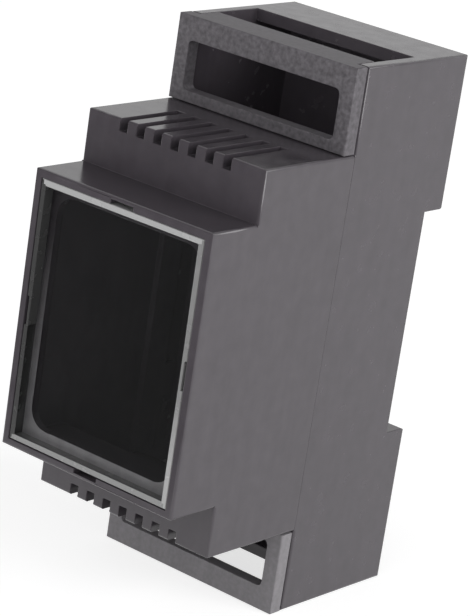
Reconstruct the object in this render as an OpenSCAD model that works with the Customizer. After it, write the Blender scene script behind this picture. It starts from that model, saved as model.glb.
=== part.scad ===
// Two-module enclosure for a 35 mm top-hat rail: base, cover, clear window, two terminal
// guards and a sliding rail clip. X is the width, -Y the front and +Z the upper end.
// The origin is the middle of the footprint when the enclosure stands on its lower end.

/* [Overall] */
// Width over the side walls
width = 36; // [33:0.5:72]
// Height from end to end
height = 90; // [86:0.5:110]
// Depth from the face of the nose to the back
depth = 57.4; // [55:0.2:75]
// Thickness of the moulded walls
wall = 2; // [1.6:0.1:2.4]
// Gap between pieces that are pushed together
fit_gap = 0.15; // [0.1:0.05:0.25]
// Gap between pieces that slide
slide_gap = 0.3; // [0.2:0.05:0.4]

/* [Cover] */
// Depth of the cover, from the face of the nose to the parting line
cover_depth = 31.5; // [29:0.5:34]
// Height of the nose
nose_h = 45.2; // [43:0.2:48]
// Height over both shoulders
shoulder_h = 62.2; // [60:0.2:64]
// Setback of the shoulders from the face of the nose
shoulder_setback = 10.2; // [8:0.2:12]
// Radius of the cover's outer edges
cover_edge_r = 0.5; // [0.3:0.1:1]
// Length of the tongues that reach into the base
tongue_len = 3; // [2:0.5:4]
// Thickness of the tongues
tongue_t = 1; // [0.8:0.1:1.2]
// Length of the snap hooks behind the parting line
hook_len = 5; // [4.5:0.5:6]
// Width of a snap hook
hook_w = 6; // [4:0.5:8]
// Distance between the two hooks on a side
hook_spacing = 34; // [24:1:40]
// How far a snap hook's barb stands out
barb = 0.6; // [0.4:0.1:0.8]

/* [Vents] */
// Number of vent slots in each shoulder
vent_count = 7; // [3:1:8]
// Width of a vent slot
vent_w = 1.6; // [1:0.1:2]
// Distance from slot to slot
vent_pitch = 3.5; // [3:0.1:4]
// Length of a vent slot, from the face of the shoulder
vent_len = 13.2; // [8:0.2:16]

/* [Window] */
// Width of the rim on each side of the panel's seat
rim_side = 1.35; // [1:0.05:3]
// Height of the rim above and below the panel's seat
rim_end = 1.25; // [1:0.05:3]
// Depth of the clear panel, which is a shallow tray, open to the front
window_t = 2.8; // [2.2:0.1:3.2]
// Thickness of its pane, which lies on the ledge
pane_t = 1; // [0.8:0.1:1.5]
// Thickness of the wall round the pane
tray_wall = 0.9; // [0.7:0.1:1.2]
// How far the panel lies below the rim
window_drop = 0.1; // [0:0.05:0.5]
// Radius of the panel's corners
window_corner_r = 0.5; // [0.3:0.1:1]
// Width of the ledge that the panel lies on, left and right
ledge_side = 1.8; // [1.4:0.1:3]
// Width of that ledge above and below
ledge_end = 2.3; // [1.4:0.1:3]
// Radius of the corners of the opening inside the ledge
opening_r = 3.2; // [1:0.2:5]
// Thickness of the ledge
ledge_t = 1.4; // [1:0.1:2]
// Length of the notch at the middle of the panel's left and right edge
notch_len = 4.6; // [3:0.2:8]
// Depth of that notch
notch_depth = 0.4; // [0.2:0.1:0.5]
// Width of the pry pits in the rim, above and below the panel
pit_w = 4.6; // [3:0.2:8]
// Depth of the pry pits
pit_depth = 2.2; // [1:0.1:2.6]
// Thickness of the rim outside a pry pit
pit_wall = 0.45; // [0.4:0.05:0.6]

/* [Terminal guards] */
// Thickness of the guard's front plate
guard_t = 2.9; // [2:0.1:3.5]
// Gap between the guard's front plate and the base's walls
guard_gap = 0.4; // [0.2:0.05:0.5]
// Thickness of the guard's bar at the end of the enclosure
guard_bar_t = 1.2; // [1:0.1:2]
// How far that bar reaches behind the parting line
guard_bar_reach = 4; // [3:0.5:6]
// Width of the frame on each side of the guard's window
guard_side_w = 2.7; // [2.4:0.1:4]
// Height of the frame between the window and the end of the enclosure
guard_rim_h = 3.9; // [3.4:0.1:4.5]
// Height of the frame between the window and the shoulder
guard_sill_h = 1.85; // [1.2:0.05:2.5]
// Radius of the window's corners
guard_window_r = 0.8; // [0.3:0.1:1.5]
// Radius of the guard's outer edges
guard_edge_r = 0.3; // [0.2:0.1:0.8]
// Thickness of the lugs with which the guard snaps into the base
lug_t = 1.4; // [1:0.1:2]

/* [Base] */
// Radius of the base's outer edges
base_edge_r = 0.5; // [0.4:0.1:1.2]
// Length of the end plates, measured from the back
end_plate_len = 12; // [9:0.2:13]
// Thickness of the end plates
end_plate_t = 2; // [1.5:0.1:2.5]
// Thickness of a circuit board in its guide
board_t = 1.6; // [1:0.1:2.4]
// Distance from the parting line to the board's guide
board_setback = 7; // [6:0.5:9]
// Height of a guide rib above the wall
rib_h = 0.9; // [0.6:0.1:1.2]
// Thickness of a guide rib
rib_t = 1.2; // [0.8:0.1:1.6]
// Length of the guide ribs
rib_len = 58; // [30:1:60]
// Diameter of a board post
post_d = 5; // [4:0.2:6]
// Height of a board post
post_h = 3.5; // [2:0.5:4]
// Diameter of the pilot hole in a post
post_hole_d = 2; // [1.6:0.1:2.5]
// Depth of the pilot hole
post_hole_depth = 4.5; // [3:0.5:5]
// Distance between the two posts
post_spacing = 28; // [20:1:32]

/* [Rail] */
// Height of the rail that the enclosure is made for
rail_h = 35; // [35:1:35]
// Thickness of the rail's flange
rail_t = 1; // [1:0.1:1.3]
// Depth of the recess in the back
recess_depth = 4.8; // [4.2:0.1:5.4]
// Room in the recess above the rail
recess_above = 2; // [1:0.1:3]
// Room in the recess below the rail
recess_below = 0.7; // [0.5:0.1:1.5]
// Radius of the recess's outer corners
recess_edge_r = 1; // [0.4:0.1:1.5]
// How far the fixed hooks and the clip reach behind the rail
rail_grip = 1.5; // [1:0.1:2]
// Width of one fixed hook
rail_hook_w = 8; // [5:0.5:10]
// Distance between the middles of the two fixed hooks
rail_hook_spacing = 19; // [16:0.5:20]
// Clearance between the rail's edge and the hooks
rail_clearance = 0.3; // [0.2:0.1:0.5]

/* [Rail clip] */
// Width of the clip's plate
clip_w = 13.4; // [12:0.2:16]
// Thickness of the clip's wide layer
clip_t = 2.3; // [2:0.1:2.5]
// Width of the clip's raised spine
spine_w = 9; // [7:0.2:10]
// Travel of the clip
clip_travel = 3.4; // [2.5:0.1:3.6]
// Height of the bevelled nose that grips the rail
clip_nose_h = 2.4; // [2:0.1:3]
// Width of a spring arm
spring_w = 1.1; // [0.8:0.1:1.4]
// Length of a spring arm
spring_len = 12; // [9:0.5:13]
// Width of the slit beside a spring arm
slit_w = 1.1; // [0.8:0.1:1.4]
// How far the stop on a spring arm stands out
stop_out = 1; // [0.7:0.1:1.2]
// Height of that stop
stop_h = 2.6; // [2:0.1:3.5]
// Width of the screwdriver slot in the tail
pull_slot_w = 5.5; // [4:0.5:6]
// Height of the screwdriver slot
pull_slot_h = 1.6; // [1.2:0.1:2]
// Width of the lips that hold the clip in
lip_w = 2; // [1.4:0.1:2.2]

/* [Hidden] */
$fn = 48;

// How far a cut runs past the face it opens
over = 1;

mid_z = height / 2;
half_w = width / 2;
inner_w = width - 2 * wall;

// Depth stations, from front to back
y_nose = -depth / 2;
y_back = depth / 2;
y_shoulder = y_nose + shoulder_setback;
y_part = y_nose + cover_depth;
y_guard = y_part - guard_t;
y_seat = y_nose + window_drop + window_t;
y_floor = y_back - recess_depth;
y_inside = y_floor - wall;
y_slot_end = y_back - end_plate_len;
y_grip = y_floor + rail_t + rail_clearance;

// Height stations
nose_lo = mid_z - nose_h / 2;
nose_hi = mid_z + nose_h / 2;
shoulder_lo = mid_z - shoulder_h / 2;
shoulder_hi = mid_z + shoulder_h / 2;
rail_lo = mid_z - rail_h / 2;
rail_hi = mid_z + rail_h / 2;
recess_lo = rail_lo - recess_below;
recess_hi = rail_hi + recess_above;

// The clear panel, and the frame of a guard at the upper end
window_w = width - 2 * (rim_side + fit_gap);
window_h = nose_h - 2 * (rim_end + fit_gap);
guard_foot = shoulder_hi + fit_gap;
guard_win_lo = guard_foot + guard_sill_h;
guard_win_hi = height - guard_rim_h;
lug_hi = height - guard_bar_t + slide_gap;

// The clip's channel and the clip at rest
channel_w = clip_w + 2 * slide_gap;
clip_tip = rail_lo + rail_grip;
clip_tail = clip_travel + slide_gap;
stop_lo = clip_tip - clip_nose_h - stop_h - 4;
spring_root = stop_lo + stop_h - spring_len;
y_clip_in = y_floor + slide_gap;
y_clip_step = y_clip_in + clip_t;
y_lip = y_clip_step + slide_gap;

// The pieces' colours
black_abs = [0.16, 0.16, 0.17];
guard_abs = [0.2, 0.2, 0.21];
clip_abs = [0.12, 0.12, 0.13];
clear_pc = [0.85, 0.9, 0.92, 0.4];

// Box between its lowest and its highest corner
module span(lo, hi) {
    translate(lo) cube(hi - lo);
}

// Draws the (y, z) outline below it from x0 to x1
module along_x(x0, x1) {
    translate([x0, 0, 0]) rotate([90, 0, 90]) linear_extrude(x1 - x0) children();
}

// Draws the (x, z) outline below it from y0 to y1
module along_y(y0, y1) {
    translate([0, y1, 0]) rotate([90, 0, 0]) linear_extrude(y1 - y0) children();
}

// Draws the (x, y) outline below it from z0 to z1
module along_z(z0, z1) {
    translate([0, 0, z0]) linear_extrude(z1 - z0) children();
}

// What rounding takes off a corner at p, where into gives the signs of the solid's side
module corner_off(p, into, r) {
    translate(p) scale([into.x, into.y]) difference() {
        translate([-over, -over]) square(r + over);
        translate([r, r]) circle(r);
    }
}

// Rectangle about p with round corners
module round_rect(p, size, r) {
    translate(p) difference() {
        square(size, center = true);
        for (sx = [-1, 1], sy = [-1, 1])
            corner_off([sx * size.x / 2, sy * size.y / 2], [-sx, -sy], r);
    }
}

// Draws its children on the +X side and mirrored on the -X side
module both_sides() {
    for (m = [0, 1]) mirror([m, 0, 0]) children();
}

// Draws its children at the upper end and mirrored at the lower end
module both_ends() {
    for (m = [0, 1]) translate([0, 0, m * height]) mirror([0, 0, m]) children();
}

// The cover's stepped outline from the side, smaller all round by inset
module cover_outline(inset, back) {
    polygon([
        [back, shoulder_lo + inset], [y_shoulder + inset, shoulder_lo + inset],
        [y_shoulder + inset, nose_lo + inset], [y_nose + inset, nose_lo + inset],
        [y_nose + inset, nose_hi - inset], [y_shoulder + inset, nose_hi - inset],
        [y_shoulder + inset, shoulder_hi - inset], [back, shoulder_hi - inset],
    ]);
}

module cover_shell() {
    difference() {
        along_x(-half_w, half_w) difference() {
            cover_outline(0, y_part);
            for (s = [-1, 1]) {
                corner_off([y_nose, mid_z + s * nose_h / 2], [1, -s], cover_edge_r);
                corner_off([y_shoulder, mid_z + s * shoulder_h / 2], [1, -s], cover_edge_r);
            }
        }
        along_x(-inner_w / 2, inner_w / 2) cover_outline(wall, y_part + over);
        both_sides() {
            // Upright edges of the nose and of the shoulders
            along_z(nose_lo - over, nose_hi + over)
                corner_off([half_w, y_nose], [-1, 1], cover_edge_r);
            both_ends() along_z(nose_hi, shoulder_hi + over)
                corner_off([half_w, y_shoulder], [-1, 1], cover_edge_r);
            // Edges that run back along the side
            both_ends() {
                along_y(y_nose - over, y_shoulder)
                    corner_off([half_w, nose_hi], [-1, -1], cover_edge_r);
                along_y(y_shoulder - over, y_part + over)
                    corner_off([half_w, shoulder_hi], [-1, -1], cover_edge_r);
            }
        }
    }
}

// Snap hook that reaches back from the parting line on the +X side, with its barb outwards
module snap_hook(lo, hi, reach, thick) {
    face = inner_w / 2 - fit_gap;
    along_z(lo, hi) polygon([
        [face - thick, y_part - fit_gap - over], [face, y_part - fit_gap - over],
        [face, y_part + reach - 2.4 * barb], [face + barb, y_part + reach - 2.2 * barb],
        [face + barb, y_part + reach - 1.6 * barb], [face - 0.2, y_part + reach],
        [face - thick, y_part + reach],
    ]);
}

// Pocket in the base's wall for that barb
module hook_pocket(lo, hi, reach) {
    face = inner_w / 2;
    span([face - over, y_part + reach - 2.4 * barb - slide_gap, lo - slide_gap],
         [face + barb, y_part + reach, hi + slide_gap]);
}

// Places its children at the height of each of a side's two hooks
module at_hooks() {
    for (s = [-1, 1]) translate([0, 0, mid_z + s * hook_spacing / 2]) children();
}

module cover() {
    color(black_abs) {
        difference() {
            union() {
                cover_shell();
                // Thicker front that carries the window's seat
                span([-half_w + wall, y_nose + cover_edge_r, nose_lo + wall],
                     [half_w - wall, y_seat + ledge_t, nose_hi - wall]);
            }
            // Seat of the window, and the opening inside its ledge
            along_y(y_nose - over, y_seat)
                translate([0, mid_z])
                square([width - 2 * rim_side, nose_h - 2 * rim_end], center = true);
            along_y(y_nose - over, y_seat + ledge_t + over)
                round_rect([0, mid_z], [window_w - 2 * ledge_side, window_h - 2 * ledge_end],
                           opening_r);
            // Pry pits beside the panel
            both_ends() span([-pit_w / 2, y_nose - over, nose_hi - rim_end - over],
                             [pit_w / 2, y_nose + pit_depth, nose_hi - pit_wall]);
            // Vent slots through the top of each shoulder and over its front edge
            both_ends() for (i = [0 : vent_count - 1]) {
                x = (i - (vent_count - 1) / 2) * vent_pitch;
                span([x - vent_w / 2, y_shoulder - over, shoulder_hi - wall],
                     [x + vent_w / 2, y_shoulder + vent_len, shoulder_hi + over]);
            }
        }
        both_sides() {
            // Tongue inside the base's wall
            span([inner_w / 2 - tongue_t, y_part - wall, mid_z - rib_len / 2],
                 [inner_w / 2 + over / 2, y_part, mid_z + rib_len / 2]);
            span([inner_w / 2 - tongue_t, y_part - over, mid_z - rib_len / 2],
                 [inner_w / 2 - fit_gap, y_part + tongue_len, mid_z + rib_len / 2]);
            at_hooks() snap_hook(-hook_w / 2, hook_w / 2, hook_len, tongue_t - fit_gap);
        }
    }
}

module front_window() {
    color(clear_pc) difference() {
        along_y(y_nose + window_drop, y_seat) difference() {
            round_rect([0, mid_z], [window_w, window_h], window_corner_r);
            for (s = [-1, 1]) translate([s * window_w / 2, mid_z])
                square([2 * notch_depth, notch_len], center = true);
        }
        along_y(y_nose - over, y_seat - pane_t)
            round_rect([0, mid_z], [window_w - 2 * tray_wall, window_h - 2 * tray_wall],
                       window_corner_r);
    }
}

// Terminal guard as it lies over the upper terminals
module terminal_guard() {
    rear = y_part - guard_gap;
    color(guard_abs) {
        difference() {
            span([-half_w, y_guard, guard_foot], [half_w, rear, height]);
            along_y(y_guard - over, rear + over)
                round_rect([0, (guard_win_lo + guard_win_hi) / 2],
                           [width - 2 * guard_side_w, guard_win_hi - guard_win_lo],
                           guard_window_r);
            both_sides() {
                along_z(guard_foot - over, height + over)
                    corner_off([half_w, y_guard], [-1, 1], guard_edge_r);
                along_y(y_guard - over, rear + over)
                    corner_off([half_w, height], [-1, -1], guard_edge_r);
            }
            along_x(-half_w - over, half_w + over)
                corner_off([y_guard, height], [1, -1], guard_edge_r);
        }
        // Bar at the end of the enclosure, between the side walls
        span([-inner_w / 2 + fit_gap, rear - over, height - guard_bar_t],
             [inner_w / 2 - fit_gap, y_part + guard_bar_reach, height]);
        both_sides() snap_hook(guard_win_hi, lug_hi, guard_bar_reach, lug_t);
    }
}

module terminal_guard_top() {
    terminal_guard();
}

module terminal_guard_bottom() {
    translate([0, 0, height]) mirror([0, 0, 1]) terminal_guard();
}

// The base's outline from the side, with the recess for the rail
module base_outline() {
    difference() {
        translate([y_part, 0]) square([y_back - y_part, height]);
        translate([y_floor, recess_lo]) square([recess_depth + over, recess_hi - recess_lo]);
        corner_off([y_back, recess_lo], [-1, -1], recess_edge_r);
        corner_off([y_back, recess_hi], [-1, 1], recess_edge_r);
        corner_off([y_back, 0], [-1, 1], base_edge_r);
        corner_off([y_back, height], [-1, -1], base_edge_r);
    }
}

// The hollow inside the base, open to the front and at both ends
module base_hollow() {
    span([-inner_w / 2, y_part - over, -over], [inner_w / 2, y_slot_end, height + over]);
    span([-inner_w / 2, y_part - over, end_plate_t],
         [inner_w / 2, y_inside, height - end_plate_t]);
    // Room behind the recess's floor at the upper end
    span([-inner_w / 2, y_slot_end, recess_hi + wall],
         [inner_w / 2, y_back - wall, height - end_plate_t]);
    // Rooms beside the clip's channel at the lower end
    both_sides() span([channel_w / 2 + wall, y_slot_end, end_plate_t],
                      [inner_w / 2, y_back - wall, recess_lo - wall]);
}

// Board guides on the walls, and the two board posts
module board_supports() {
    guide = y_part + board_setback;
    both_sides() for (y = [guide, guide + rib_t + board_t + slide_gap])
        span([inner_w / 2 - rib_h, y, mid_z - rib_len / 2],
             [inner_w / 2 + over / 2, y + rib_t, mid_z + rib_len / 2]);
    for (s = [-1, 1]) translate([0, y_inside, mid_z + s * post_spacing / 2])
        rotate([90, 0, 0]) translate([0, 0, -over / 2]) cylinder(d = post_d, h = post_h + over / 2);
}

// One fixed hook, seen from the side: it reaches down behind the rail's upper flange
module rail_hook_outline() {
    hook_lo = rail_hi - rail_grip;
    polygon([
        [y_floor - over / 2, recess_hi + over / 2], [y_floor - over / 2, rail_hi + rail_clearance],
        [y_grip, rail_hi + rail_clearance], [y_grip, hook_lo],
        [y_back - 1.6, hook_lo], [y_back - 0.4, hook_lo + 1.2],
        [y_back - 0.4, recess_hi + over / 2],
    ]);
}

// Places its children at the middle of each fixed hook
module at_rail_hooks() {
    for (s = [-1, 1]) translate([s * rail_hook_spacing / 2, 0, 0]) children();
}

// The channel in which the clip slides, with pockets for the stops on its spring arms
module clip_channel() {
    span([-channel_w / 2, y_floor, -over], [channel_w / 2, y_back + over, recess_lo + over]);
    both_sides() span([channel_w / 2 - over, y_floor, stop_lo - clip_travel - slide_gap],
                      [channel_w / 2 + stop_out, y_back - wall / 2, stop_lo + stop_h + slide_gap]);
}

// Lips over the channel that keep the clip in
module channel_lips() {
    both_sides() span([channel_w / 2 - lip_w, y_lip, end_plate_t],
                      [channel_w / 2 + over, y_back, recess_lo - 2 * recess_edge_r]);
}

module base() {
    color(black_abs) {
        difference() {
            union() {
                difference() {
                    along_x(-half_w, half_w) base_outline();
                    base_hollow();
                }
                board_supports();
                at_rail_hooks() along_x(-rail_hook_w / 2, rail_hook_w / 2) rail_hook_outline();
            }
            clip_channel();
            // Openings in the recess's floor through which the hooks are moulded
            at_rail_hooks() span([-rail_hook_w / 2, y_inside - over, rail_hi - rail_grip - 1],
                                 [rail_hook_w / 2, y_grip, rail_hi + rail_clearance]);
            for (s = [-1, 1]) translate([0, y_inside, mid_z + s * post_spacing / 2])
                rotate([90, 0, 0]) translate([0, 0, post_h - post_hole_depth])
                cylinder(d = post_hole_d, h = post_hole_depth + over);
            both_sides() {
                at_hooks() hook_pocket(-hook_w / 2, hook_w / 2, hook_len);
                both_ends() {
                    hook_pocket(guard_win_hi, lug_hi, guard_bar_reach);
                    // Round outer edges of the wall, in front and at the ends
                    along_z(shoulder_hi, height + over)
                        corner_off([half_w, y_part], [-1, 1], base_edge_r);
                    along_y(y_part - over, y_back + over)
                        corner_off([half_w, height], [-1, -1], base_edge_r);
                }
                along_z(-over, height + over) corner_off([half_w, y_back], [-1, -1], base_edge_r);
            }
        }
        channel_lips();
    }
}

// The clip's outline from behind: plate, spring arms with stops, and screwdriver slot
module clip_outline() {
    difference() {
        union() {
            translate([-clip_w / 2, clip_tail]) square([clip_w, clip_tip - clip_tail]);
            for (s = [-1, 1]) translate([s * clip_w / 2, stop_lo + stop_h / 2])
                square([2 * stop_out, stop_h], center = true);
        }
        for (s = [-1, 1]) {
            // Slit beside the arm, open at the arm's free end
            translate([s * (clip_w / 2 - spring_w - slit_w / 2), spring_root + spring_len / 2])
                square([slit_w, spring_len], center = true);
            translate([s * (clip_w / 2 - (spring_w + slit_w) / 2), stop_lo + stop_h + slit_w / 2])
                square([spring_w + slit_w, slit_w], center = true);
        }
        translate([0, clip_tail + 1.4 + pull_slot_h / 2])
            square([pull_slot_w, pull_slot_h], center = true);
    }
}

module rail_clip() {
    color(clip_abs) difference() {
        union() {
            along_y(y_clip_in, y_clip_step) clip_outline();
            // Spine that fills the space between the lips
            along_y(y_clip_step - over, y_back - 0.2) difference() {
                translate([-spine_w / 2, clip_tail]) square([spine_w, clip_tip - clip_tail]);
                translate([0, clip_tail + 1.4 + pull_slot_h / 2])
                    square([pull_slot_w, pull_slot_h], center = true);
            }
        }
        // Room for the rail's flange in front of the nose, and the nose's bevel
        span([-half_w, y_floor - over, rail_lo - recess_below - slide_gap],
             [half_w, y_grip, clip_tip + over]);
        along_x(-half_w, half_w) polygon([
            [y_back, clip_tip - clip_nose_h], [y_back + over, clip_tip - clip_nose_h],
            [y_back + over, clip_tip + over], [y_grip + 0.7, clip_tip + over],
            [y_grip + 0.7, clip_tip],
        ]);
    }
}

base();
cover();
front_window();
terminal_guard_top();
terminal_guard_bottom();
rail_clip();
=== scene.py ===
"""The looks of a two-module rail enclosure: moulded black housing, clear tray, guards, studio."""

import sys

import logging
import math
from collections.abc import Sequence
from dataclasses import dataclass, field, replace
from enum import Enum

import bmesh
import bpy
from mathutils import Matrix, Vector


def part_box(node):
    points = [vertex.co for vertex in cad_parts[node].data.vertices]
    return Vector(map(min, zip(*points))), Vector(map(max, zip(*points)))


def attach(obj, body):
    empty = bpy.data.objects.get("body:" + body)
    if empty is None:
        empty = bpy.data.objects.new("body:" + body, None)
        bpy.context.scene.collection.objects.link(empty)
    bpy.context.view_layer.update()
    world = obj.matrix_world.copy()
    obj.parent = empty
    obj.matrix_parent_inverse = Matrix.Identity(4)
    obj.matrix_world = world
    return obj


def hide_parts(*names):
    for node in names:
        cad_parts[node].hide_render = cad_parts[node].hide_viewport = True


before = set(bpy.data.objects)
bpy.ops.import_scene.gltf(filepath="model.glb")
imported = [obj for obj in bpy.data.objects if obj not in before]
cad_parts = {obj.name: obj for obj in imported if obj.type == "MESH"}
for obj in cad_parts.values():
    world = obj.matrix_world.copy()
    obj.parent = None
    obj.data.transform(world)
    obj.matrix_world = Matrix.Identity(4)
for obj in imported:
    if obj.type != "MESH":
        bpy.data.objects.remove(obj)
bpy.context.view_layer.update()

MM = 0.001
# The middle range of a noise pattern, which the finishes spread over their own ranges
PATTERN_LOW, PATTERN_HIGH = 0.3, 0.7
# How far apart two places may lie and still count as the same
SAME_PLACE = 1e-6
# How far a point of the tray may lie off its rim plane and still count as on it
ON_RIM = 1e-7
log = logging.getLogger("enclosure")


class Body(Enum):
    """The bodies of the frame that new pieces ride on."""

    HOUSING = "housing"


class Side(Enum):
    """The sides of the clear tray, with the tones that stand for its glint, high and low."""

    LEFT = (0.05, 0.06)
    RIGHT = (0.21, 0.42)
    BOTTOM = (0.28, 0.28)
    TOP = (0.37, 0.37)


class Slot(Enum):
    """The record's material slots that new pieces take."""

    CLEAR = "clear_panel"


class NodeBench:
    """A workbench for the nodes of one material, world or modifier."""

    def __init__(self, tree: bpy.types.NodeTree) -> None:
        """Clears the node tree and keeps it at hand."""
        self.nodes = tree.nodes
        self.links = tree.links
        self.nodes.clear()

    def add(self, kind: str, settings: dict | None = None, **values: object) -> bpy.types.Node:
        """Adds a node.

        Args:
            kind: the node's Blender type.
            settings: the node's own properties, by name.
            **values: numbers for its inputs, by name with _ for a space.

        Returns:
            The new node.
        """
        node = self.nodes.new(kind)
        for key, value in (settings or {}).items():
            setattr(node, key, value)
        for key, value in values.items():
            node.inputs[key.replace("_", " ")].default_value = value
        return node

    def join(self, node: bpy.types.Node, out: str | int, into: bpy.types.Node,
             slot: str | int) -> None:
        """Links one node's output to another's input."""
        self.links.new(node.outputs[out], into.inputs[slot])

    def coordinates(self) -> bpy.types.Node:
        """Returns a node that gives the piece's own Object coordinates."""
        return self.add("ShaderNodeTexCoord")

    def noise(self, coords: bpy.types.Node, grain: float, detail: float = 2.0,
              stretch: tuple[float, float, float] = (1.0, 1.0, 1.0)) -> bpy.types.Node:
        """Adds a noise pattern.

        Args:
            coords: the node that gives the coordinates.
            grain: the size of a grain in metres.
            detail: how many finer layers lie on it.
            stretch: how much tighter the pattern is along each axis.

        Returns:
            The noise node.
        """
        mapping = self.add("ShaderNodeMapping")
        mapping.inputs["Scale"].default_value = stretch
        noise = self.add("ShaderNodeTexNoise", Scale=1.0 / grain, Detail=detail)
        self.join(coords, "Object", mapping, "Vector")
        self.join(mapping, "Vector", noise, "Vector")
        return noise

    def spread(self, source: bpy.types.Node, out: str, low: float, high: float) -> bpy.types.Node:
        """Maps a pattern's middle range to the range from low to high.

        Args:
            source: the pattern's node.
            out: its output.
            low: the value at the low end of that range.
            high: the value at its high end.

        Returns:
            The Map Range node.
        """
        node = self.add("ShaderNodeMapRange")
        node.inputs["From Min"].default_value = PATTERN_LOW
        node.inputs["From Max"].default_value = PATTERN_HIGH
        node.inputs["To Min"].default_value = low
        node.inputs["To Max"].default_value = high
        self.join(source, out, node, "Value")
        return node

    def ramp(self, start: float, first: Sequence[float], end: float,
             last: Sequence[float]) -> bpy.types.Node:
        """Adds a colour ramp.

        Args:
            start: the value up to which the first colour holds.
            first: the first colour.
            end: the value from which the last colour holds.
            last: the last colour.

        Returns:
            The Color Ramp node.
        """
        node = self.add("ShaderNodeValToRGB")
        low, high = node.color_ramp.elements
        low.position, low.color = start, (*first, 1.0)
        high.position, high.color = end, (*last, 1.0)
        return node

    def shader(self, **values: object) -> bpy.types.Node:
        """Adds the surface shader with its output and returns it."""
        shader = self.add("ShaderNodeBsdfPrincipled", **values)
        output = self.add("ShaderNodeOutputMaterial")
        self.join(shader, "BSDF", output, "Surface")
        return shader

    def let_light_through(self, shader: bpy.types.Node, share: float) -> None:
        """Lets lamp light and diffuse light pass the surface on a straight line.

        Args:
            shader: the surface shader, which stays as it is for every other ray.
            share: how much of the light passes.
        """
        output = next(n for n in self.nodes if n.bl_idname == "ShaderNodeOutputMaterial")
        passing = self.add("ShaderNodeBsdfTransparent", Color=(share, share, share, 1.0))
        either = self.add("ShaderNodeMixShader")
        self.join(self.ray_kind("Is Shadow Ray", "Is Diffuse Ray"), 0, either, 0)
        self.join(shader, 0, either, 1)
        self.join(passing, 0, either, 2)
        self.join(either, 0, output, "Surface")

    def ray_kind(self, *kinds: str) -> bpy.types.Node:
        """Adds a value that is 1 for rays of the named kinds and 0 for all others.

        Args:
            *kinds: outputs of the Light Path node, at least two.

        Returns:
            The node whose first output is that value.
        """
        path = self.add("ShaderNodeLightPath")
        value, out = path, kinds[0]
        for kind in kinds[1:]:
            either = self.add("ShaderNodeMath", {"operation": "MAXIMUM"})
            self.join(value, out, either, 0)
            self.join(path, kind, either, 1)
            value, out = either, 0
        return value


def new_material(name: str) -> tuple[bpy.types.Material, NodeBench]:
    """Makes an empty material.

    Args:
        name: its name.

    Returns:
        The material and the bench for its nodes.
    """
    material = bpy.data.materials.new(name)
    material.use_nodes = True
    return material, NodeBench(material.node_tree)


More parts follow.
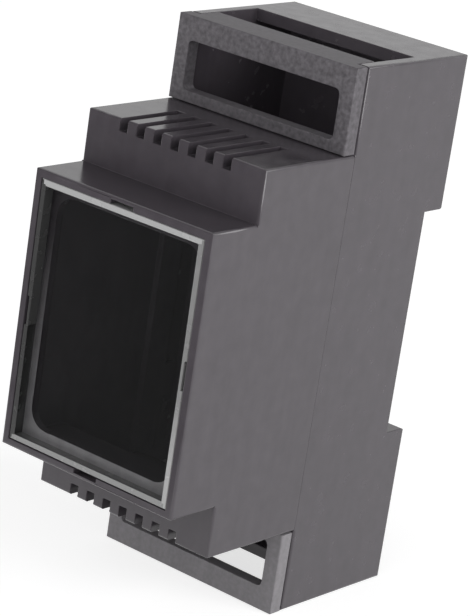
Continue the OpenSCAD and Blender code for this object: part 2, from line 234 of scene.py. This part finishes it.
@dataclass(frozen=True)
class MouldedFinish:
    """Moulded plastic with the fine grain of a spark-eroded mould."""

    name: str
    tone: tuple[float, float, float]
    roughness: float = 0.24
    roughness_swing: float = 0.04
    tone_swing: float = 0.12
    mottle: float = 2.5 * MM
    grain: float = 0.22 * MM
    grain_depth: float = 0.004 * MM
    grain_strength: float = 0.4
    shine: float = 0.5
    flow: float = 0.4
    flow_grain: float = 6 * MM
    flow_stretch: tuple[float, float, float] = (3.0, 3.0, 0.35)
    detail: float = 3.0
    pit_share: float = 0.6
    refraction: float = 1.53
    # The tray's seat, on whose front painted light lies, paler toward its low end
    seat: float | None = None
    seat_light_tone: tuple[float, float, float] = (0.46, 0.447, 0.463)
    seat_low: float = 24 * MM
    seat_high: float = 58 * MM
    seat_high_share: float = 0.05
    seat_reach: float = 0.05 * MM
    seat_swing: float = 0.15
    seat_facing: float = -0.7

    def material(self) -> bpy.types.Material:
        """Builds the finish's material and returns it."""
        material, bench = new_material(self.name)
        coords = bench.coordinates()
        shader = bench.shader(IOR=self.refraction, Specular_IOR_Level=self.shine)
        # Tone: slow mottling, with faint flow streaks along the height
        mottle = bench.noise(coords, self.mottle, self.detail)
        flow = bench.noise(coords, self.flow_grain, stretch=self.flow_stretch)
        mix = bench.add("ShaderNodeMix", {"data_type": "FLOAT"})
        mix.inputs[0].default_value = self.flow
        bench.join(mottle, 0, mix, 2)
        bench.join(flow, 0, mix, 3)
        ramp = bench.ramp(PATTERN_LOW, [c * (1.0 - self.tone_swing) for c in self.tone],
                          PATTERN_HIGH, [c * (1.0 + self.tone_swing) for c in self.tone])
        bench.join(mix, 0, ramp, "Fac")
        # Painted light on the front of the tray's seat, over the tone
        bench.join(self.paint_seat_light(bench, coords, mix, ramp), 0, shader, "Base Color")
        # Roughness: varies with the same mottling
        rough = bench.spread(mottle, "Fac", self.roughness - self.roughness_swing,
                             self.roughness + self.roughness_swing)
        bench.join(rough, 0, shader, "Roughness")
        # Grain: pits of the eroded mould on a finer noise
        fine = bench.noise(coords, self.grain, self.detail)
        pits = bench.add("ShaderNodeTexVoronoi", Scale=self.pit_share / self.grain)
        bench.join(coords, "Object", pits, "Vector")
        height = bench.add("ShaderNodeMath", {"operation": "ADD"})
        bench.join(fine, 0, height, 0)
        bench.join(pits, "Distance", height, 1)
        bump = bench.add("ShaderNodeBump", Strength=self.grain_strength, Distance=self.grain_depth)
        bench.join(height, 0, bump, "Height")
        bench.join(bump, 0, shader, "Normal")
        return material

    def paint_seat_light(self, bench: NodeBench, coords: bpy.types.Node, pattern: bpy.types.Node,
                  plain: bpy.types.Node) -> bpy.types.Node:
        """Paints light on the front faces of the clear tray's seat: paler toward its lower end.

        Args:
            bench: the material's bench.
            coords: the node that gives the coordinates.
            pattern: the mottling.
            plain: the ramp with the tone everywhere else.

        Returns:
            The node whose first output is the tone.
        """
        if self.seat is None:
            return plain
        parts = bench.add("ShaderNodeSeparateXYZ")
        bench.join(coords, "Object", parts, "Vector")
        on_seat = bench.add("ShaderNodeMath", {"operation": "COMPARE"})
        on_seat.inputs[1].default_value = self.seat
        on_seat.inputs[2].default_value = self.seat_reach
        bench.join(parts, "Y", on_seat, 0)
        fade = bench.add("ShaderNodeMapRange")
        fade.inputs["From Min"].default_value = self.seat_low
        fade.inputs["From Max"].default_value = self.seat_high
        fade.inputs["To Min"].default_value = 1.0
        fade.inputs["To Max"].default_value = self.seat_high_share
        bench.join(parts, "Z", fade, "Value")
        facing = bench.add("ShaderNodeSeparateXYZ")
        bench.join(coords, "Normal", facing, "Vector")
        forward = bench.add("ShaderNodeMath", {"operation": "LESS_THAN"})
        forward.inputs[1].default_value = self.seat_facing
        bench.join(facing, "Y", forward, 0)
        front = bench.add("ShaderNodeMath", {"operation": "MULTIPLY"})
        bench.join(on_seat, 0, front, 0)
        bench.join(forward, 0, front, 1)
        share = bench.add("ShaderNodeMath", {"operation": "MULTIPLY"})
        bench.join(front, 0, share, 0)
        bench.join(fade, 0, share, 1)
        seat_light = bench.ramp(PATTERN_LOW, [c * (1.0 - self.seat_swing) for c in self.seat_light_tone],
                          PATTERN_HIGH, [c * (1.0 + self.seat_swing) for c in self.seat_light_tone])
        bench.join(pattern, 0, seat_light, "Fac")
        tone = bench.add("ShaderNodeMixRGB")
        bench.join(share, 0, tone, "Fac")
        bench.join(plain, "Color", tone, "Color1")
        bench.join(seat_light, "Color", tone, "Color2")
        return tone


@dataclass(frozen=True)
class ClearFinish:
    """Clear polished plastic with the faintest moulding waves."""

    name: str = "clear_polished"
    shine: float = 0.35
    passing: float = 0.6
    refraction: float = 1.49
    detail: float = 3.0
    haze_grain: float = 7 * MM
    wave_grain: float = 11 * MM
    wave_depth: float = 0.01 * MM
    wave_strength: float = 0.1
    roughness: tuple[float, float] = (0.01, 0.03)
    deep_tone: tuple[float, float, float] = (0.84, 0.86, 0.86)
    pale_tone: tuple[float, float, float] = (0.92, 0.93, 0.93)

    def material(self) -> bpy.types.Material:
        """Builds the finish's material and returns it."""
        material, bench = new_material(self.name)
        coords = bench.coordinates()
        shader = bench.shader(IOR=self.refraction, Transmission_Weight=1.0,
                              Specular_IOR_Level=self.shine)
        bench.let_light_through(shader, self.passing)
        haze = bench.noise(coords, self.haze_grain, self.detail)
        rough = bench.spread(haze, "Fac", *self.roughness)
        bench.join(rough, 0, shader, "Roughness")
        ramp = bench.ramp(PATTERN_LOW, self.deep_tone, PATTERN_HIGH, self.pale_tone)
        bench.join(haze, 0, ramp, "Fac")
        bench.join(ramp, "Color", shader, "Base Color")
        wave = bench.noise(coords, self.wave_grain, 1.0)
        bump = bench.add("ShaderNodeBump", Strength=self.wave_strength, Distance=self.wave_depth)
        bench.join(wave, 0, bump, "Height")
        bench.join(bump, 0, shader, "Normal")
        return material


@dataclass(frozen=True)
class WallFinish:
    """The narrow end of a clear wall, as a pale tone that stands for the light in it."""

    name: str
    glint: float
    low_glint: float
    low: float = 28 * MM
    high: float = 44 * MM
    clear: float = 0.1
    refraction: float = 1.49
    detail: float = 3.0
    mark_grain: float = 2 * MM
    mark_depth: float = 0.004 * MM
    mark_strength: float = 0.2
    mark_swing: float = 0.08
    roughness: tuple[float, float] = (0.16, 0.3)

    def material(self) -> bpy.types.Material:
        """Builds the finish's material and returns it."""
        material, bench = new_material(self.name)
        coords = bench.coordinates()
        shader = bench.shader(IOR=self.refraction, Transmission_Weight=self.clear)
        marks = bench.noise(coords, self.mark_grain, self.detail)
        rough = bench.spread(marks, "Fac", *self.roughness)
        bench.join(rough, 0, shader, "Roughness")
        # Tone: from the low to the high end of the wall, with fine marks on it
        parts = bench.add("ShaderNodeSeparateXYZ")
        bench.join(coords, "Object", parts, "Vector")
        rise = bench.add("ShaderNodeMapRange")
        rise.inputs["From Min"].default_value = self.low
        rise.inputs["From Max"].default_value = self.high
        bench.join(parts, "Z", rise, "Value")
        speck = bench.spread(marks, "Fac", -self.mark_swing, self.mark_swing)
        place = bench.add("ShaderNodeMath", {"operation": "ADD"})
        bench.join(rise, 0, place, 0)
        bench.join(speck, 0, place, 1)
        ramp = bench.ramp(0.0, [self.low_glint] * 3, 1.0, [self.glint] * 3)
        bench.join(place, 0, ramp, "Fac")
        bench.join(ramp, "Color", shader, "Base Color")
        bump = bench.add("ShaderNodeBump", Strength=self.mark_strength, Distance=self.mark_depth)
        bench.join(marks, 0, bump, "Height")
        bench.join(bump, 0, shader, "Normal")
        return material


class Palette:
    """The enclosure's finishes."""

    HOUSING = MouldedFinish("housing_abs", (0.056, 0.049, 0.057))
    GUARD_TOP = MouldedFinish("guard_top_abs", (0.098, 0.091, 0.1), roughness=0.5,
                              mottle=0.7 * MM, grain=0.45 * MM, grain_depth=0.02 * MM,
                              tone_swing=0.34, shine=0.25, flow=0.12)
    # The same moulding, with a paler tone that stands for the light on it
    GUARD_BOTTOM = replace(GUARD_TOP, name="guard_bottom_abs", tone=(0.21, 0.201, 0.212),
                           tone_swing=0.18, flow=0.4)
    CLIP = MouldedFinish("clip_acetal", (0.035, 0.035, 0.037), roughness=0.3)

    def __init__(self) -> None:
        """Builds each material once."""
        self.housing = self.HOUSING.material()
        self.cover = replace(self.HOUSING, name="cover_abs", roughness=0.2,
                             seat=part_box("front_window")[1].y).material()
        self.guard_top = self.GUARD_TOP.material()
        self.guard_bottom = self.GUARD_BOTTOM.material()
        self.clip = self.CLIP.material()
        self.clear = ClearFinish().material()
        self.walls = {side: WallFinish(f"clear_wall_{side.name.lower()}", *side.value).material()
                      for side in Side}


@dataclass(frozen=True)
class SoftEdges:
    """Fine rounding of the long sharp edges that a mould leaves on a CAD node."""

    width: float = 0.12 * MM
    segments: int = 2
    sharp: float = math.radians(50)
    shortest: float = 0.7 * MM
    face_weight: int = 80

    def picker(self) -> bpy.types.NodeTree:
        """Builds the nodes that give long sharp edges a bevel weight and keep short ones sharp.

        Returns:
            The node tree for a geometry modifier.
        """
        tree = bpy.data.node_groups.new("edge_picker", "GeometryNodeTree")
        tree.interface.new_socket("Geometry", in_out="INPUT", socket_type="NodeSocketGeometry")
        tree.interface.new_socket("Geometry", in_out="OUTPUT", socket_type="NodeSocketGeometry")
        bench = NodeBench(tree)
        given, result = bench.add("NodeGroupInput"), bench.add("NodeGroupOutput")
        angle = bench.add("GeometryNodeInputMeshEdgeAngle")
        ends = bench.add("GeometryNodeInputMeshEdgeVertices")
        length = bench.add("ShaderNodeVectorMath", {"operation": "DISTANCE"})
        bench.join(ends, "Position 1", length, 0)
        bench.join(ends, "Position 2", length, 1)
        is_sharp = bench.add("ShaderNodeMath", {"operation": "GREATER_THAN"})
        is_sharp.inputs[1].default_value = self.sharp
        bench.join(angle, "Unsigned Angle", is_sharp, 0)
        is_long = bench.add("ShaderNodeMath", {"operation": "GREATER_THAN"})
        is_long.inputs[1].default_value = self.shortest
        bench.join(length, "Value", is_long, 0)
        both = bench.add("ShaderNodeMath", {"operation": "MULTIPLY"})
        bench.join(is_sharp, 0, both, 0)
        bench.join(is_long, 0, both, 1)
        store = bench.add("GeometryNodeStoreNamedAttribute",
                          {"data_type": "FLOAT", "domain": "EDGE"}, Name="bevel_weight_edge")
        bench.join(given, 0, store, "Geometry")
        bench.join(both, 0, store, "Value")
        stays = bench.add("ShaderNodeMath", {"operation": "SUBTRACT"})
        bench.join(is_sharp, 0, stays, 0)
        bench.join(both, 0, stays, 1)
        keep = bench.add("GeometryNodeStoreNamedAttribute",
                         {"data_type": "BOOLEAN", "domain": "EDGE"}, Name="sharp_edge")
        bench.join(store, 0, keep, "Geometry")
        bench.join(stays, 0, keep, "Value")
        bench.join(keep, 0, result, 0)
        return tree

    def apply(self, node: bpy.types.Object) -> None:
        """Adds the modifiers that merge, round and shade the node."""
        weld = node.modifiers.new("weld", "WELD")
        weld.merge_threshold = SAME_PLACE
        pick = node.modifiers.new("pick", "NODES")
        pick.node_group = self.picker()
        bevel = node.modifiers.new("bevel", "BEVEL")
        bevel.width = self.width
        bevel.segments = self.segments
        bevel.limit_method = "WEIGHT"
        bevel.use_clamp_overlap = False
        shade = node.modifiers.new("shade", "WEIGHTED_NORMAL")
        shade.keep_sharp = True
        shade.weight = self.face_weight


@dataclass
class DressedNode:
    """A CAD node that keeps its shape and gets fine edges and a finish."""

    name: str
    edges: SoftEdges = field(default_factory=SoftEdges)

    def dress(self, material: bpy.types.Material) -> bpy.types.Object:
        """Gives the node its finish.

        Args:
            material: the finish's material.

        Returns:
            The node's object.
        """
        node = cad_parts[self.name]
        self.edges.apply(node)
        if not node.material_slots:
            node.data.materials.append(material)
        for slot in node.material_slots:
            slot.material = material
        log.info("dressed %s", self.name)
        return node


@dataclass
class ClearTray:
    """The clear front panel: a pane in a low wall, with a notch in its left and right edge."""

    wall: float = 0.9 * MM
    pane: float = 1.0 * MM
    notch_len: float = 4.6 * MM
    notch_depth: float = 0.4 * MM
    rounding: float = 0.12 * MM
    arris: float = 0.06 * MM
    rounding_steps: int = 3
    arris_steps: int = 2
    sharp: float = math.radians(40)
    cells: int = 5

    def plate(self, shape: bmesh.types.BMesh, size: Vector) -> None:
        """Builds the notched plate, centred on x and z, with its back at y = 0.

        Args:
            shape: the mesh that is built.
            size: the panel's width, depth and height.
        """
        middle = self.cells / 2
        bmesh.ops.create_grid(shape, x_segments=self.cells, y_segments=self.cells, size=middle)
        half_w, half_h, half = size.x / 2, size.z / 2, self.notch_len / 2
        across = [-half_w, -half_w + self.notch_depth, -half_w + self.wall,
                  half_w - self.wall, half_w - self.notch_depth, half_w]
        upward = [-half_h, -half_h + self.wall, -half, half, half_h - self.wall, half_h]
        notches = [f for f in shape.faces
                   if abs(f.calc_center_median().y) < 0.1 and abs(f.calc_center_median().x) > 1.5]
        for vert in shape.verts:
            column, row = round(vert.co.x + middle), round(vert.co.y + middle)
            vert.co = Vector((across[column], 0.0, upward[row]))
        bmesh.ops.delete(shape, geom=notches, context="FACES")
        self.pull(shape, shape.faces[:], -size.y)
        bmesh.ops.recalc_face_normals(shape, faces=shape.faces[:])

    @staticmethod
    def pull(shape: bmesh.types.BMesh, faces: list[bmesh.types.BMFace], way: float) -> None:
        """Extrudes faces along y.

        Args:
            shape: the mesh.
            faces: the faces.
            way: how far they go.
        """
        new = bmesh.ops.extrude_face_region(shape, geom=faces)["geom"]
        verts = [g for g in new if isinstance(g, bmesh.types.BMVert)]
        bmesh.ops.translate(shape, verts=verts, vec=Vector((0.0, way, 0.0)))

    def in_wall(self, point: Vector, size: Vector) -> bool:
        """Tells whether a point lies inside the inner faces of the wall."""
        room_x, room_z = size.x / 2 - self.wall, size.z / 2 - self.wall
        return abs(point.x) < room_x - SAME_PLACE and abs(point.z) < room_z - SAME_PLACE

    def hollow(self, shape: bmesh.types.BMesh, size: Vector) -> None:
        """Sinks the plate's front inside the wall down to the pane.

        Args:
            shape: the plate.
            size: its width, depth and height.
        """
        front = [f for f in shape.faces if f.calc_center_median().y < -size.y + ON_RIM]
        inner = [f for f in front if self.in_wall(f.calc_center_median(), size)]
        self.pull(shape, inner, size.y - self.pane)
        bmesh.ops.delete(shape, geom=[f for f in inner if f.is_valid], context="FACES_ONLY")
        loose = [e for e in shape.edges if not e.link_faces]
        bmesh.ops.delete(shape, geom=loose, context="EDGES")
        bmesh.ops.recalc_face_normals(shape, faces=shape.faces[:])

    def soften(self, shape: bmesh.types.BMesh, size: Vector) -> None:
        """Rounds the outer front edge, and takes the sharpness off every other edge.

        Args:
            shape: the tray.
            size: its width, depth and height.
        """
        outer = [e for e in shape.edges
                 if all(v.co.y < -size.y + ON_RIM for v in e.verts)
                 and any(abs(v.co.x) > size.x / 2 - self.notch_depth - SAME_PLACE
                         or abs(v.co.z) > size.z / 2 - SAME_PLACE for v in e.verts)]
        bmesh.ops.bevel(shape, geom=outer, offset=self.rounding, offset_type="OFFSET",
                        segments=self.rounding_steps, profile=0.5, affect="EDGES", material=-1,
                        clamp_overlap=False)
        sharp = [e for e in shape.edges if e.calc_face_angle(0.0) > self.sharp]
        bmesh.ops.bevel(shape, geom=sharp, offset=self.arris, offset_type="OFFSET",
                        segments=self.arris_steps, profile=0.5, affect="EDGES", material=-1,
                        clamp_overlap=True)

    def finish_of(self, face: bmesh.types.BMFace, size: Vector) -> int:
        """Chooses a face's finish: clear on the pane, and on the wall by its side.

        Args:
            face: a face of the centred tray.
            size: the tray's width, depth and height.

        Returns:
            The index of the finish: 0 for clear, then the sides in their order.
        """
        middle = face.calc_center_median()
        if middle.y > -size.y + 2 * self.wall or self.in_wall(middle, size):
            return 0
        beyond = {Side.LEFT: -middle.x - size.x / 2, Side.RIGHT: middle.x - size.x / 2,
                  Side.BOTTOM: -middle.z - size.z / 2, Side.TOP: middle.z - size.z / 2}
        return 1 + list(Side).index(max(beyond, key=beyond.get))

    def build(self, palette: Palette) -> bpy.types.Object:
        """Builds the tray in the place of its CAD solid.

        Args:
            palette: the finishes.

        Returns:
            The tray's object.
        """
        low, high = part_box("front_window")
        size = high - low
        shape = bmesh.new()
        self.plate(shape, size)
        self.hollow(shape, size)
        self.soften(shape, size)
        for face in shape.faces:
            face.material_index = self.finish_of(face, size)
        bmesh.ops.translate(shape, verts=shape.verts[:],
                            vec=Vector(((low.x + high.x) / 2, high.y, (low.z + high.z) / 2)))
        mesh = bpy.data.meshes.new("clear_tray")
        shape.to_mesh(mesh)
        shape.free()
        tray = bpy.data.objects.new("clear_tray", mesh)
        bpy.context.scene.collection.objects.link(tray)
        mesh.materials.append(palette.clear)
        for side in Side:
            mesh.materials.append(palette.walls[side])
        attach(tray, Body.HOUSING.value)
        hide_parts("front_window")
        log.info("built clear_tray, %d faces", len(mesh.polygons))
        return tray


@dataclass
class Housing:
    """Everything that is clicked together: base, cover, guards and clear tray."""

    base: DressedNode = field(default_factory=lambda: DressedNode("base"))
    cover: DressedNode = field(default_factory=lambda: DressedNode("cover"))
    guard_top: DressedNode = field(default_factory=lambda: DressedNode("terminal_guard_top"))
    guard_bottom: DressedNode = field(default_factory=lambda: DressedNode("terminal_guard_bottom"))
    panel: ClearTray = field(default_factory=ClearTray)

    def build(self, palette: Palette) -> None:
        """Dresses the moulded pieces and builds the tray."""
        self.base.dress(palette.housing)
        self.cover.dress(palette.cover)
        self.guard_top.dress(palette.guard_top)
        self.guard_bottom.dress(palette.guard_bottom)
        self.panel.build(palette)


@dataclass
class RailClip:
    """The sliding clip at the back."""

    clip: DressedNode = field(default_factory=lambda: DressedNode("rail_clip"))

    def build(self, palette: Palette) -> None:
        """Dresses the clip."""
        self.clip.dress(palette.clip)


@dataclass
class Softbox:
    """A square studio lamp that points at a place on the object."""

    name: str
    place: tuple[float, float, float]
    aim: tuple[float, float, float]
    side: float
    power: float

    def build(self) -> None:
        """Adds the lamp."""
        data = bpy.data.lights.new(self.name, "AREA")
        data.shape = "SQUARE"
        data.size = self.side
        data.energy = self.power
        lamp = bpy.data.objects.new(self.name, data)
        bpy.context.scene.collection.objects.link(lamp)
        lamp.location = self.place
        toward = Vector(self.aim) - Vector(self.place)
        lamp.rotation_euler = toward.to_track_quat("-Z", "Y").to_euler()


@dataclass
class Studio:
    """Pale floor sheet, graded surround, soft lamps and the camera."""

    floor_front: float = -0.075
    floor_side: float = 6.0
    floor_tone: float = 0.5
    floor_lift: float = 0.72
    fill_front: float = 1.6
    fill_back: float = 0.2
    fill_span: tuple[float, float] = (-0.9, 1.0)
    front_glow: float = 0.12
    back_glow: float = 0.84
    glow_span: tuple[float, float] = (-0.15, 0.45)
    floor_cells: int = 8
    floor_drop: float = 0.02 * MM
    floor_roughness: float = 0.9
    lamps: tuple[Softbox, ...] = (
        Softbox("lamp_top", (-0.15, 0.75, 0.85), (0.0, 0.0, 0.045), 1.4, 0.5),
        Softbox("lamp_right", (1.0, 0.25, 0.35), (0.0, 0.0, 0.045), 0.8, 9.5),
    )
    lens: float = 161.95
    sensor: float = 36.0
    clip_span: tuple[float, float] = (0.01, 20.0)
    camera_place: tuple[float, float, float] = (0.257939, -0.329777, 0.178145)
    camera_right: tuple[float, float, float] = (0.752961, 0.642251, 0.143398)
    camera_up: tuple[float, float, float] = (-0.300756, 0.142037, 0.943065)

    def world(self) -> None:
        """Makes the surround.

        The camera sees it white. Reflections and clear pieces see it pale behind the object and
        dim in front of it, and it lights the object most from the front and below.
        """
        world = bpy.data.worlds.new("surround")
        world.use_nodes = True
        bpy.context.scene.world = world
        bench = NodeBench(world.node_tree)
        # What reflections and clear pieces see: pale behind the object, dim in front of it
        parts = bench.add("ShaderNodeSeparateXYZ")
        bench.join(bench.coordinates(), "Generated", parts, "Vector")
        room = bench.add("ShaderNodeMapRange", {"interpolation_type": "SMOOTHSTEP"})
        room.inputs["From Min"].default_value = self.glow_span[0]
        room.inputs["From Max"].default_value = self.glow_span[1]
        room.inputs["To Min"].default_value = self.front_glow
        room.inputs["To Max"].default_value = self.back_glow
        bench.join(parts, "Y", room, "Value")
        # What lights the object: most from the front and below, least from behind and above
        slope = bench.add("ShaderNodeMath", {"operation": "ADD"})
        bench.join(parts, "Y", slope, 0)
        bench.join(parts, "Z", slope, 1)
        fill = bench.add("ShaderNodeMapRange", {"interpolation_type": "SMOOTHSTEP"})
        fill.inputs["From Min"].default_value = self.fill_span[0]
        fill.inputs["From Max"].default_value = self.fill_span[1]
        fill.inputs["To Min"].default_value = self.fill_front
        fill.inputs["To Max"].default_value = self.fill_back
        bench.join(slope, 0, fill, "Value")
        mirror = bench.add("ShaderNodeMix", {"data_type": "FLOAT"})
        bench.join(fill, 0, mirror, 2)
        bench.join(bench.ray_kind("Is Glossy Ray", "Is Transmission Ray"), 0, mirror, 0)
        bench.join(room, 0, mirror, 3)
        seen = bench.add("ShaderNodeMix", {"data_type": "FLOAT"})
        seen.inputs[3].default_value = 1.0
        path = bench.add("ShaderNodeLightPath")
        bench.join(path, "Is Camera Ray", seen, 0)
        bench.join(mirror, 0, seen, 2)
        glow = bench.add("ShaderNodeBackground", Color=(1.0, 1.0, 1.0, 1.0))
        output = bench.add("ShaderNodeOutputWorld")
        bench.join(seen, 0, glow, "Strength")
        bench.join(glow, 0, output, "Surface")

    def floor(self) -> None:
        """Makes the pale floor sheet, which keeps the object's shadow."""
        shape = bmesh.new()
        bmesh.ops.create_grid(shape, x_segments=self.floor_cells, y_segments=self.floor_cells,
                              size=self.floor_side / 2)
        ahead = self.floor_front + self.floor_side / 2
        bmesh.ops.translate(shape, verts=shape.verts[:],
                            vec=Vector((0.0, ahead, -self.floor_drop)))
        mesh = bpy.data.meshes.new("floor")
        shape.to_mesh(mesh)
        shape.free()
        floor = bpy.data.objects.new("floor", mesh)
        bpy.context.scene.collection.objects.link(floor)
        material, bench = new_material("floor_paper")
        tone = self.floor_tone
        shader = bench.shader(Base_Color=(tone, tone, tone, 1.0), Roughness=self.floor_roughness,
                              Specular_IOR_Level=0.0, Emission_Color=(1.0, 1.0, 1.0, 1.0))
        lift = bench.add("ShaderNodeMath", {"operation": "MULTIPLY"})
        lift.inputs[1].default_value = self.floor_lift
        seen = bench.ray_kind("Is Camera Ray", "Is Glossy Ray", "Is Transmission Ray")
        bench.join(seen, 0, lift, 0)
        bench.join(lift, 0, shader, "Emission Strength")
        mesh.materials.append(material)

    def camera(self) -> None:
        """Stands the camera in front, above and to the right."""
        data = bpy.data.cameras.new("camera")
        data.lens = self.lens
        data.sensor_width = self.sensor
        data.clip_start, data.clip_end = self.clip_span
        camera = bpy.data.objects.new("camera", data)
        bpy.context.scene.collection.objects.link(camera)
        right, up = Vector(self.camera_right), Vector(self.camera_up)
        back = right.cross(up)
        turn = Matrix((right, up, back)).transposed().to_4x4()
        camera.matrix_world = Matrix.Translation(Vector(self.camera_place)) @ turn
        bpy.context.scene.camera = camera

    def build(self) -> None:
        """Builds the whole studio."""
        bpy.context.scene.view_settings.view_transform = "Standard"
        self.world()
        self.floor()
        for lamp in self.lamps:
            lamp.build()
        self.camera()
        log.info("built the studio")


def main() -> None:
    """Builds the studio and every piece, in order."""
    logging.basicConfig(level=logging.INFO, format="%(message)s", stream=sys.stdout)
    Studio().build()
    palette = Palette()
    Housing().build(palette)
    RailClip().build(palette)


if __name__ == "__main__":
    main()
